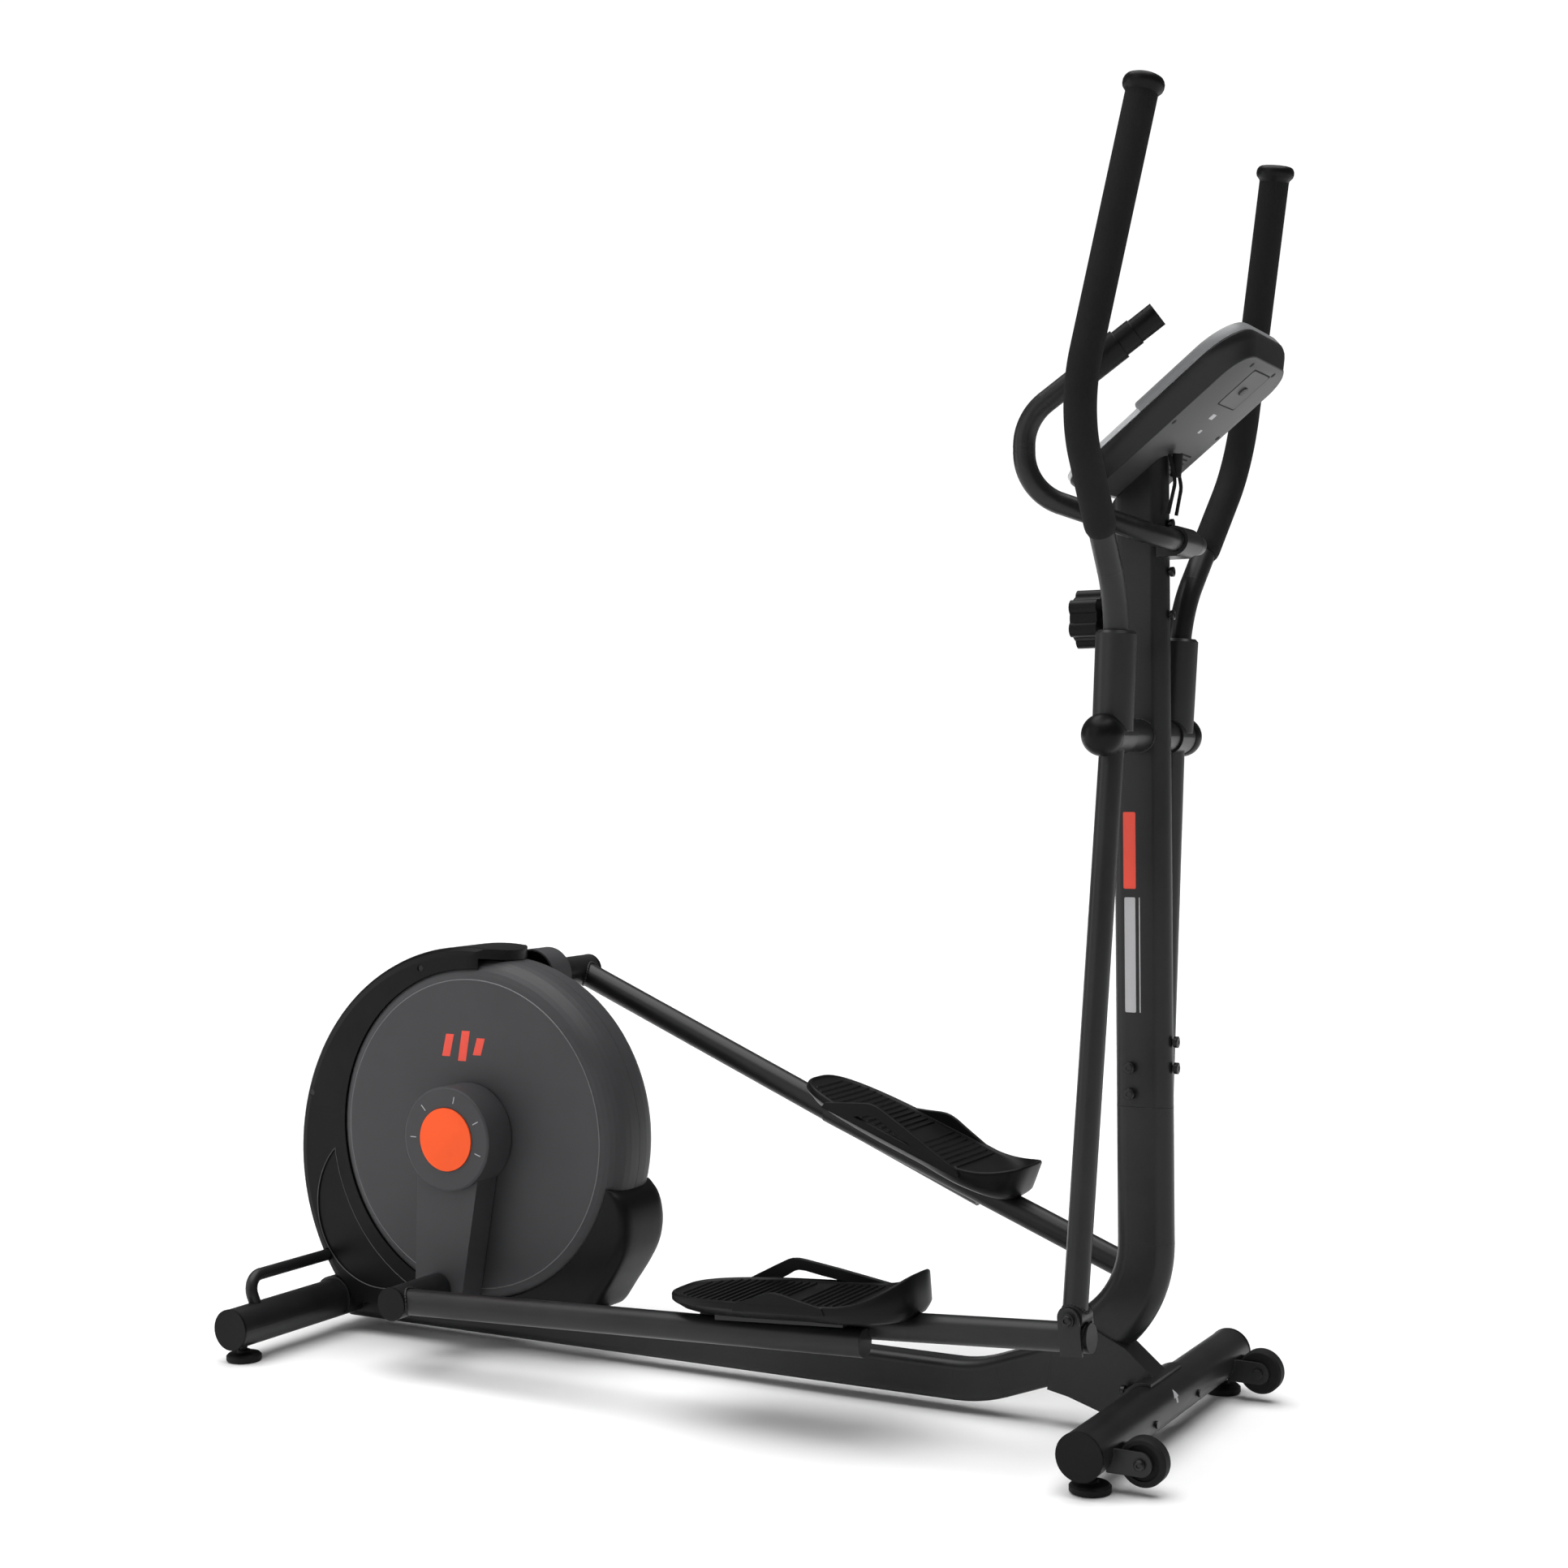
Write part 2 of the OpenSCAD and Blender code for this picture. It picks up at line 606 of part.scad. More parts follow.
module pivot_cap(s, t) color(black) place() arm_frame(t) flip(s) difference() {
  translate([0, -arm_y - 34, 0]) rotate([90, 0, 0]) rotate_extrude() difference() {
    intersection() {
      circle(r = 27);
      translate([0, -12]) square([30, 60]);
    }
    translate([-1, -30]) square([25.1, 23.05]);
    translate([-1, -30]) square([15.5, 35]);
  }
  translate([0, -arm_y, 5.95]) cylinder(r = 26.1, h = 60);
}
module pivot_cap_right() pivot_cap(-1, th_r);
module pivot_cap_left() pivot_cap(1, th_l);
ha = [0, -arm_y, 165];
hbend = [8, -298, 388];
htop = [56, -236, 776];
module handle(s, t) color(black) place() arm_frame(t) flip(s) {
  difference() {
    bent([[0, -arm_y, 52], ha, hbend, htop], 150, 16);
    bent([[0, -arm_y, 50], ha, hbend, htop + hd], 150, 16 - wall);
  }
}
hd = unit(htop - hbend);
hs = ha + (hbend - ha) * 0.38;
module grip(s, t) color(black) place() {
  foam(s, t);
  handle_cap(s, t);
}
module foam(s, t) arm_frame(t) flip(s) difference() {
  bent([hs, hbend, htop - hd * 14], 150, grip_d / 2);
  bent([hs - unit(hbend - ha) * 2, hbend, htop], 150, 16.2);
}
module handle_cap(s, t) arm_frame(t) flip(s) along(htop, hd) rotate_extrude() polygon([
  [0, 0.2], [16.2, 0.2], [16.2, -13.8], [20, -13.8], [24, -8], [25.5, -2], [25.5, 4], [23, 8.5], [18, 11], [0, 12]
]);
module handle_right() handle(-1, th_r);
module handle_left() handle(1, th_l);
module grip_right() grip(-1, th_r);
module grip_left() grip(1, th_l);

module bar_frame(s) {
  p = s < 0 ? pin_r : pin_l;
  translate([p[0], 0, p[1]]) rotate([0, s < 0 ? -be_r : -be_l, 0]) flip(s) children();
}
bar_a = [0, -bar_y, 0];
bar_b = [bar_len + 16, -bar_y, -27];
bd = unit(bar_b - bar_a);
// rear tube beside the front one: from the pin sleeve to under the footplate
rear_a = [0, -bar_y - 32.5, 0];
rear_d = unit([1, 0, -0.047]);
module rear_tube(r, a, b) rod(rear_a + rear_d * a, rear_a + rear_d * b, r);
module bar(s) color(black) place() bar_frame(s) difference() {
  union() {
    ycyl(24, -220, -114.5);
    rear_tube(bar_d / 2, 0, 764);
    rod(bar_a + bd * 505, bar_b, bar_d / 2);
  }
  rear_tube(bar_d / 2 - wall - 0.5, 30, 761);
  rod(bar_a + bd * 508, bar_b + bd, bar_d / 2 - wall);
  ycyl(20, -221, -150);
  cope();
}
module cope() ycyl(18, -bar_y - 18.6, -bar_y + 18.6, bar_len, 0);
module bar_right() bar(-1);
module bar_left() bar(1);
module bar_caps(s) color(black) place() bar_frame(s) {
  ycyl(24.4, -224, -220);
  ycyl(19.95, -220.1, -206);
  rod(bar_b, bar_b + bd * 4, bar_d / 2);
  difference() {
    rod(bar_b - bd * 14, bar_b + bd * 0.1, bar_d / 2 - wall - 0.05);
    cope();
  }
}
module bar_caps_right() bar_caps(-1);
module bar_caps_left() bar_caps(1);
module clevis(s) color(black) place() {
  ears(s);
  pivot_bolt(s);
}
module ears(s) bar_frame(s) difference() {
  for (y = [-bar_y - 23.5, -bar_y + 18.5]) slab(y, y + 5) union() {
    translate([bar_len, 0]) circle(r = 14.5);
    translate([bar_len - 14.5, -46]) square([29, 46]);
  }
  rod(bar_a, bar_b + bd * 30, bar_d / 2 + 0.02);
  ycyl(5.99, -220, -100, bar_len, 0);
}
module clevis_right() clevis(-1);
module clevis_left() clevis(1);
module pivot_bolt(s) bar_frame(s) {
  ycyl(6, -bar_y - 26, -bar_y + 27, bar_len, 0);
  ycyl(9, -bar_y - 29, -bar_y - 23.6, bar_len, 0);
  ycyl(9, -bar_y + 23.6, -bar_y + 29, bar_len, 0);
}

// pedal parts sit on the bar, s along it, n above it
module on_bar(s) bar_frame(s) translate(bar_a) rotate([0, -asin(bd[2]), 0]) children();
module bracket(s) color(black) place() difference() {
  on_bar(s) block([548, -50, 6], [742, 21, 19.5]);
  bar_frame(s) {
    rear_tube(bar_d / 2 + 0.05, 400, 900);
    rod(bar_a + bd * 400, bar_a + bd * 900, bar_d / 2 + 0.05);
  }
}
module pedal_bracket_right() bracket(-1);
module pedal_bracket_left() bracket(1);
ped_l = 367;
ped_w = 166;
module pedal_outline(o = 0) polygon([
  for (i = [0 : 47]) let (a = i * 7.5, c = cos(a), d = sin(a), e = c < 0 ? 0.86 : 0.62)
    [(ped_l / 2 - o) * sign(c) * pow(abs(c), e), (ped_w / 2 - o) * sign(d) * pow(abs(d), 0.62)]
]);
module pedal_half() translate([651, 0, 0]) children();
module pedal(s) color(black) place() on_bar(s) pedal_half() {
  difference() {
    union() {
      translate([0, 0, 20]) linear_extrude(15) pedal_outline();
      difference() {
        translate([0, 0, 11]) linear_extrude(10) pedal_outline();
        translate([0, 0, 10]) linear_extrude(12) pedal_outline(6);
      }
      // rim
      translate([0, 0, 34]) linear_extrude(5) difference() {
        pedal_outline();
        pedal_outline(6);
      }
      // toe cup
      translate([0, 0, 34]) linear_extrude(40) intersection() {
        difference() {
          pedal_outline();
          pedal_outline(7);
        }
        translate([86, -200]) square([200, 400]);
      }
    }
    block([-220, -55, -10], [220, 23.6, 19.9]);
    // the cup rises toward the toe
    slab(-90, 90) polygon([
      [60, 39.05], [86, 39.05], [122, 45.5], [150, 55], [170, 66], [186, 72.5], [198, 100], [60, 100]
    ]);
  }
  for (i = [0 : 19]) translate([-156 + i * 13.4, -52 + (i < 3 ? 18 - i * 6 : 0), 34.9]) {
    cube([5, 104 - 2 * (i < 3 ? 18 - i * 6 : 0), 3]);
  }
  // inner guard with its triangular opening
  translate([0, ped_w / 2 - 8, 0]) slab(0, 7) difference() {
    polygon([[-96, 20], [-55, 63], [-47, 66], [-30, 66.5], [-20, 65], [90, 40], [110, 36], [110, 20]]);
    polygon([[-62, 36.2], [-36, 47.5], [-19, 47.5], [28, 36.2]]);
  }
  // outer low guard
  translate([0, -ped_w / 2 + 1, 0]) slab(0, 7)
    polygon([[-50, 20], [-50, 36], [0, 53], [19, 52], [75, 37], [80, 20]]);
}
module pedal_right() pedal(-1);
module pedal_left() pedal(1);

front_stabilizer();
rear_stabilizer();
stabilizer_caps();
rear_handle();
foot_front_right();
foot_front_left();
foot_rear_right();
foot_rear_left();
wheel_right();
wheel_left();
wheel_bolts();
main_rail();
mast_lower();
mast_upper();
frame_bolts();
arm_axle();
bearings();
fixed_handlebar();
pulse_grips();
handlebar_clamp();
console_back();
console_face();
console_screen();
key_right();
key_left();
stop_button();
battery_cover();
console_cables();
tension_knob();
housing_right();
housing_left();
shroud_rear();
shroud_front();
drive_frame();
crankset();
crank_covers();
hub_caps();
drive_pulley();
belt();
flywheel();
idler();
brake();
arm_right();
arm_left();
pivot_cap_right();
pivot_cap_left();
handle_right();
handle_left();
grip_right();
grip_left();
bar_right();
bar_left();
bar_caps_right();
bar_caps_left();
clevis_right();
clevis_left();
pedal_bracket_right();
pedal_bracket_left();
pedal_right();
pedal_left();
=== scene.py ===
"""Elliptical trainer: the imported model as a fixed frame, with materials, finer pieces, light and camera."""
import json
import math
import bmesh
import bpy
from mathutils import Matrix, Vector


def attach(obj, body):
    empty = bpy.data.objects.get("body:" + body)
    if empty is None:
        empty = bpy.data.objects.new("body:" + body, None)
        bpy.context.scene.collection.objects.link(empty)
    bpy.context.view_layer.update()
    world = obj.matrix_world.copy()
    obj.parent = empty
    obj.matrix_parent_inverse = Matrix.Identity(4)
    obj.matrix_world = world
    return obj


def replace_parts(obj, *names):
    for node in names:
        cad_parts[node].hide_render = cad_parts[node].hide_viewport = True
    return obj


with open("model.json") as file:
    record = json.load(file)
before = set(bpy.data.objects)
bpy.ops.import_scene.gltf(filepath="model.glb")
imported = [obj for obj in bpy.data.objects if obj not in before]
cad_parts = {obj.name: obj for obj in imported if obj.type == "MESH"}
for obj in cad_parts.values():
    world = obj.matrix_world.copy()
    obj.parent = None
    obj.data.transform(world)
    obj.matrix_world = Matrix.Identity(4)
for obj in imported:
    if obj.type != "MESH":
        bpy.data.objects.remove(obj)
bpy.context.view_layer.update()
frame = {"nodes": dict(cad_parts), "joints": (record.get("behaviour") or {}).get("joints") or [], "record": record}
NODES = frame["nodes"]
SHIFT = 0.620       # from the middle of the footprint to the front stabilizer axis, metres
SIDES = {"right": -1, "left": 1}


def P(x, y, z):
    """A point in millimetres from the front stabilizer axis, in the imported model's frame in metres."""
    return Vector((x / 1000 + SHIFT, y / 1000, z / 1000))


def turns(n):
    """n equal steps round a full turn, in radians."""
    return [2 * math.pi * i / n for i in range(n)]


def link_object(name, data):
    o = bpy.data.objects.new(name, data)
    bpy.context.scene.collection.objects.link(o)
    return o


# ---- camera ----
IMAGE_WIDTH = 1932      # the frame's width, in the unit of the focal length
FOCAL_LENGTH = 2788.73


def make_camera():
    """The camera, from the front right of the machine and a little below the height of the arm pivots."""
    yaw, pitch, roll = math.radians(29.31), math.radians(0.368), math.radians(-0.4955)
    fwd = Vector((-math.sin(yaw) * math.cos(pitch), math.cos(yaw) * math.cos(pitch), -math.sin(pitch)))
    right = Vector((math.cos(yaw), math.sin(yaw), 0))
    up = right.cross(fwd)
    rolled_right = right * math.cos(roll) + up * math.sin(roll)
    rolled_up = -right * math.sin(roll) + up * math.cos(roll)
    data = bpy.data.cameras.new("camera")
    data.sensor_width = 36
    data.lens = data.sensor_width * FOCAL_LENGTH / IMAGE_WIDTH
    data.clip_start, data.clip_end = 0.1, 60
    cam = link_object("camera", data)
    m = Matrix((rolled_right, rolled_up, -fwd)).transposed().to_4x4()
    m.translation = P(1020.2, -2806.4, 876.2)
    cam.matrix_world = m
    bpy.context.scene.camera = cam


make_camera()


# ---- materials ----
def set_inputs(node, **values):
    """Set a node's sockets by name, with _ for a space."""
    for name, value in values.items():
        node.inputs[name.replace("_", " ")].default_value = value


PATCH_SCALE = 9.0       # soft colour patches, per metre
BUMP_DEPTH = 0.0004
ROUGH_VARY = 0.08
COAT_ROUGH = 0.25


def material(name, base, rough, metallic=0.0, vary=0.25, grain=900.0, bump=0.05, edge=0.0012, edge_highlight=0.0, coat=0.0,
             spec=0.5, pores=False):
    """A procedural finish: soft colour patches, fine grain in the bump, rounded edges and a painted highlight along
    the edges.
    """
    m = bpy.data.materials.new(name)
    m.use_nodes = True
    nt = m.node_tree
    n, link = nt.nodes, nt.links
    bsdf = n["Principled BSDF"]
    set_inputs(bsdf, Metallic=metallic, Specular_IOR_Level=spec, Coat_Weight=coat, Coat_Roughness=COAT_ROUGH)
    tc = n.new("ShaderNodeTexCoord")
    big = n.new("ShaderNodeTexNoise")
    set_inputs(big, Scale=PATCH_SCALE, Detail=5)
    link.new(tc.outputs["Object"], big.inputs["Vector"])
    ramp = n.new("ShaderNodeValToRGB")
    low, high = [c * (1 - vary) for c in base], [min(c * (1 + vary), 1) for c in base]
    ramp.color_ramp.elements[0].position, ramp.color_ramp.elements[1].position = 0.35, 0.65
    ramp.color_ramp.elements[0].color = (*low, 1)
    ramp.color_ramp.elements[1].color = (*high, 1)
    link.new(big.outputs["Fac"], ramp.inputs["Fac"])
    colour = ramp.outputs["Color"]
    bevel = n.new("ShaderNodeBevel")
    bevel.samples = 4
    set_inputs(bevel, Radius=edge)
    # painted highlight: a lighter colour where the bevelled normal turns away from the face normal, along every edge
    if edge_highlight > 0:
        geo = n.new("ShaderNodeNewGeometry")
        dot = n.new("ShaderNodeVectorMath")
        dot.operation = "DOT_PRODUCT"
        link.new(bevel.outputs["Normal"], dot.inputs[0])
        link.new(geo.outputs["Normal"], dot.inputs[1])
        rng = n.new("ShaderNodeMapRange")
        set_inputs(rng, From_Min=0.97, From_Max=0.80, To_Min=0.0, To_Max=edge_highlight)
        link.new(dot.outputs["Value"], rng.inputs["Value"])
        mix = n.new("ShaderNodeMix")
        mix.data_type = "RGBA"
        set_inputs(mix, B=(*[min(c * 3 + 0.03, 1) for c in base], 1))
        link.new(rng.outputs["Result"], mix.inputs["Factor"])
        link.new(colour, mix.inputs["A"])
        colour = mix.outputs["Result"]
    link.new(colour, bsdf.inputs["Base Color"])
    fine = n.new("ShaderNodeTexVoronoi" if pores else "ShaderNodeTexNoise")
    set_inputs(fine, Scale=grain)
    link.new(tc.outputs["Object"], fine.inputs["Vector"])
    rr = n.new("ShaderNodeMapRange")
    set_inputs(rr, To_Min=max(rough - ROUGH_VARY, 0.02), To_Max=min(rough + ROUGH_VARY, 1.0))
    link.new(big.outputs["Fac"], rr.inputs["Value"])
    link.new(rr.outputs["Result"], bsdf.inputs["Roughness"])
    b = n.new("ShaderNodeBump")
    set_inputs(b, Strength=bump, Distance=BUMP_DEPTH)
    link.new(fine.outputs["Distance" if pores else "Fac"], b.inputs["Height"])
    link.new(bevel.outputs["Normal"], b.inputs["Normal"])
    link.new(b.outputs["Normal"], bsdf.inputs["Normal"])
    return m


MAT = {
    # the frame's paint gets a painted highlight along its edges
    "frame_paint": material("powder_coat", (0.011, 0.011, 0.012), 0.36, edge_highlight=0.25, spec=0.3, grain=700, bump=0.25),
    "black_plastic": material("black_plastic", (0.005, 0.005, 0.0055), 0.36, spec=0.12, grain=1100, bump=0.2,
                              edge=0.0015),
    "rubber_foot": material("rubber", (0.006, 0.006, 0.0065), 0.66, spec=0.2, grain=800, bump=0.25),
    "foam": material("foam", (0.006, 0.006, 0.0065), 0.78, grain=1500, bump=0.55, pores=True, spec=0.2),
    "grey_plastic": material("grey_plastic", (0.048, 0.048, 0.051), 0.50, spec=0.25, grain=1300, bump=0.22, vary=0.06,
                             edge=0.002),
    "console_panel": material("console_panel", (0.60, 0.61, 0.62), 0.35, vary=0.06, grain=1500),
    "screen": material("screen_window", (0.02, 0.024, 0.028), 0.08, vary=0.1, bump=0.0, coat=0.6),
    "key_grey": material("key_grey", (0.42, 0.42, 0.43), 0.4, vary=0.06),
    "stop_red": material("stop_red", (0.55, 0.012, 0.02), 0.25, vary=0.1, coat=0.4),
    "hub_orange": material("hub_orange", (0.93, 0.100, 0.018), 0.45, vary=0.05, spec=0.2, grain=1200, edge=0.001),
    "steel": material("zinc_steel", (0.26, 0.26, 0.27), 0.35, metallic=1.0, vary=0.15, grain=500),
    "cast": material("cast_iron", (0.16, 0.16, 0.165), 0.5, metallic=1.0, vary=0.2, grain=350, bump=0.3),
    "bolt_black": material("bolt_black", (0.02, 0.02, 0.021), 0.3, metallic=0.6, vary=0.3, grain=500),
    "shell_grey": material("console_shell", (0.040, 0.040, 0.042), 0.42, spec=0.3, vary=0.08, grain=1600, bump=0.2,
                           edge=0.001),
    "head_grey": material("console_head", (0.22, 0.225, 0.23), 0.34, vary=0.08, grain=1600, bump=0.15),
    # painted shade: the console shell's tapered sides, a darker copy of the back panel's grey plastic
    "shell_painted_shade": material("console_side_painted_shade", (0.010, 0.010, 0.011), 0.36, spec=0.25, vary=0.08, grain=1600, bump=0.2),
    # painted highlight: a light grey for the thin lip round the drum face, in place of the light catching its rim
    "lip_painted_highlight": material("lip_painted_highlight", (0.13, 0.13, 0.135), 0.3, vary=0.05, bump=0.0, spec=0.6),
    # painted highlight: a dark grey, lighter than the black plastic, for the bright edge of the leaf recess
    "leaf_lip_painted_highlight": material("leaf_lip_painted_highlight", (0.035, 0.035, 0.037), 0.25, vary=0.05, bump=0.0, spec=0.6),
    # painted shade: near black for flat plates that stand in for the dark inside of slots, holes and seams
    "opening_painted_shade": material("slot_painted_shade", (0.002, 0.002, 0.002), 0.9, vary=0.1, bump=0.0),
    "mark_light": material("mark_light", (0.42, 0.42, 0.43), 0.5, vary=0.08),
    "mark_orange": material("mark_orange", (0.80, 0.06, 0.03), 0.45, vary=0.08),
}
slots = {s["node"]: s["material_slot"] for s in frame["record"]["subparts"]}
for node, obj in NODES.items():
    obj.data.materials.clear()
    obj.data.materials.append(MAT[slots[node]])
for node in ("frame_bolts", "wheel_bolts", "arm_axle"):
    NODES[node].data.materials[0] = MAT["bolt_black"]
NODES["pulse_grips"].data.materials[0] = MAT["black_plastic"]


# ---- making pieces ----
def piece(name, bm, slot, body, mat=None, smooth=True, angle=35):
    """The mesh as an object with its finish, riding on a body."""
    bmesh.ops.recalc_face_normals(bm, faces=bm.faces)
    me = bpy.data.meshes.new(name)
    bm.to_mesh(me)
    bm.free()
    o = link_object(name, me)
    me.materials.append(MAT[mat or slot])
    if smooth:
        me.shade_smooth()
        me.set_sharp_from_angle(angle=math.radians(angle))
    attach(o, body)
    return o


def frames(points, up=Vector((0, 1, 0))):
    """Tangent and two normals at each point of a smooth path, turned as little as possible."""
    out = []
    n = len(points)
    for i in range(n):
        t = (points[min(i + 1, n - 1)] - points[max(i - 1, 0)]).normalized()
        if not out:
            a = up - t * up.dot(t)
            if a.length < 0.1:
                a = Vector((1, 0, 0)) - t * t.x
        else:
            a = out[-1][1] - t * out[-1][1].dot(t)
        a.normalize()
        out.append((t, a, t.cross(a)))
    return out


def circle(bm, centre, a, b, r, seg):
    """A ring of points of radius r round centre, in the plane of a and b."""
    return [bm.verts.new(centre + (a * math.cos(k) + b * math.sin(k)) * r) for k in turns(seg)]


def stack(bm, rings):
    """Rings of the same length joined one after another, with both ends closed."""
    for r0, r1 in zip(rings, rings[1:]):
        for i in range(len(r0)):
            j = (i + 1) % len(r0)
            bm.faces.new((r0[i], r0[j], r1[j], r1[i]))
    bm.faces.new(rings[0])
    bm.faces.new(rings[-1])


def sweep(bm, points, radii, seg):
    """A round tube along the points."""
    stack(bm, [circle(bm, p, a, b, r, seg) for p, r, (t, a, b) in zip(points, radii, frames(points))])


def lathe(bm, profile, origin, axis, seg):
    """A turned shape: profile rows are (distance along the axis, radius)."""
    axis = Vector(axis).normalized()
    a = axis.orthogonal().normalized()
    b = axis.cross(a)
    rings = []
    for h, r in profile:
        c = Vector(origin) + axis * h
        rings.append([bm.verts.new(c)] if r == 0 else circle(bm, c, a, b, r, seg))
    for r0, r1 in zip(rings, rings[1:]):
        for i in range(seg):
            j = (i + 1) % seg
            if len(r0) == 1 and len(r1) > 1:
                bm.faces.new((r0[0], r1[j], r1[i]))
            elif len(r1) == 1 and len(r0) > 1:
                bm.faces.new((r0[i], r0[j], r1[0]))
            elif len(r0) > 1:
                bm.faces.new((r0[i], r0[j], r1[j], r1[i]))


def plate(bm, outline, origin, u, v, thick, soften=0.0):
    """A flat plate: outline in metres along u and v from the origin, raised by thick along u x v."""
    origin, u, v = Vector(origin), Vector(u), Vector(v)
    n = u.cross(v).normalized() * thick
    top = [bm.verts.new(origin + u * a + v * b + n) for a, b in outline]
    low = [bm.verts.new(origin + u * a + v * b) for a, b in outline]
    face = bm.faces.new(top)
    bm.faces.new(list(reversed(low)))
    for i in range(len(top)):
        j = (i + 1) % len(top)
        bm.faces.new((low[i], low[j], top[j], top[i]))
    if soften:
        bmesh.ops.bevel(bm, geom=list(face.edges), offset=soften, segments=2, affect="EDGES")


def bar_outline(length, width, r, steps=6):
    """Outline of a bar with rounded ends, centred."""
    pts = []
    for cx, cy, a0 in ((1, 1, 0), (-1, 1, 90), (-1, -1, 180), (1, -1, 270)):
        for i in range(steps + 1):
            a = math.radians(a0 + 90 * i / steps)
            pts.append((cx * (length / 2 - r) + r * math.cos(a), cy * (width / 2 - r) + r * math.sin(a)))
    return pts


def smooth_path(corners, radius, step):
    """Points along straight runs joined by arcs."""
    out = [corners[0]]
    for i in range(1, len(corners) - 1):
        d0, d1 = (corners[i] - corners[i - 1]).normalized(), (corners[i + 1] - corners[i]).normalized()
        ang = d0.angle(d1)
        cut = radius * math.tan(ang / 2)
        start = corners[i] - d0 * cut
        m = (d1 - d0 * d0.dot(d1)).normalized()
        centre = start + m * radius
        n = max(int((start - out[-1]).length / step), 1)
        base = out[-1]
        out += [base.lerp(start, k / n) for k in range(1, n)]
        n = max(int(radius * ang / step), 4)
        out += [centre - m * radius * math.cos(ang * k / n) + d0 * radius * math.sin(ang * k / n)
                for k in range(n + 1)]
    n = max(int((corners[-1] - out[-1]).length / step), 1)
    base = out[-1]
    out += [base.lerp(corners[-1], k / n) for k in range(1, n + 1)]
    return out


# ---- places of the moving parts, from the record's joints ----
JOINT = {j["name"]: j for j in frame["joints"]}
PIVOT = Vector(JOINT["right_arm_swing"]["pos_m"])
PIVOT.y = 0
CRANK = Vector(JOINT["crank_turn"]["pos_m"])
TILT = math.radians(6)      # the cranks from upright, at rest
CRANK_ARM = 0.228


def turned(origin, angle, s):
    """A frame at origin, turned about Y; y is outward on side s. Millimetres in, metres out."""
    c, n = math.cos(angle), math.sin(angle)
    return lambda x, y, z: origin + Vector(((x * c + z * n) / 1000, s * y / 1000, (z * c - x * n) / 1000))


LOWER = {k: Vector(JOINT[k + "_bar_tilt"]["pos_m"]) for k in SIDES}
PIN = {k: CRANK + Vector((s * math.sin(TILT), 0, s * math.cos(TILT))) * CRANK_ARM for k, s in SIDES.items()}
for k in SIDES:
    LOWER[k].y = PIN[k].y = 0
ARM = {k: turned(PIVOT, math.atan2(PIVOT.x - LOWER[k].x, PIVOT.z - LOWER[k].z), s) for k, s in SIDES.items()}
BAR = {k: turned(PIN[k], -math.atan2(LOWER[k].z - PIN[k].z, LOWER[k].x - PIN[k].x), s) for k, s in SIDES.items()}


# ---- handles: foam sleeves and their mushroom caps ----
GRIP_SEG = 56
GRIP_RADIUS = 0.0200


def make_grips():
    for k in SIDES:
        at = ARM[k]
        ha, hb, ht = at(0, 113, 165), at(8, 298, 388), at(56, 236, 776)
        d = (ht - hb).normalized()
        path = smooth_path([ha.lerp(hb, 0.38), hb, ht - d * 0.010], 0.150, 0.006)
        radii = [0.0170, 0.0193] + [GRIP_RADIUS] * (len(path) - 2)
        bm = bmesh.new()
        sweep(bm, path, radii, GRIP_SEG)
        foam = piece("foam_sleeve_" + k, bm, "foam", "swing_" + k)
        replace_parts(foam, "grip_" + k)
        bm = bmesh.new()
        rim = [(-0.0110, 0.0001), (-0.0110, 0.0199), (-0.0088, 0.0206), (-0.0066, 0.0226), (-0.0045, 0.0244),
               (-0.0012, 0.0254), (0.0030, 0.0254), (0.0062, 0.0243), (0.0085, 0.0226), (0.0101, 0.0195),
               (0.0110, 0.0150), (0.0116, 0.0080), (0.0118, 0)]
        lathe(bm, rim, ht, d, GRIP_SEG)
        piece("handle_cap_" + k, bm, "black_plastic", "swing_" + k)


# ---- plain marks, thin printed strips ----
MARK = 0.00012      # thickness of a printed mark


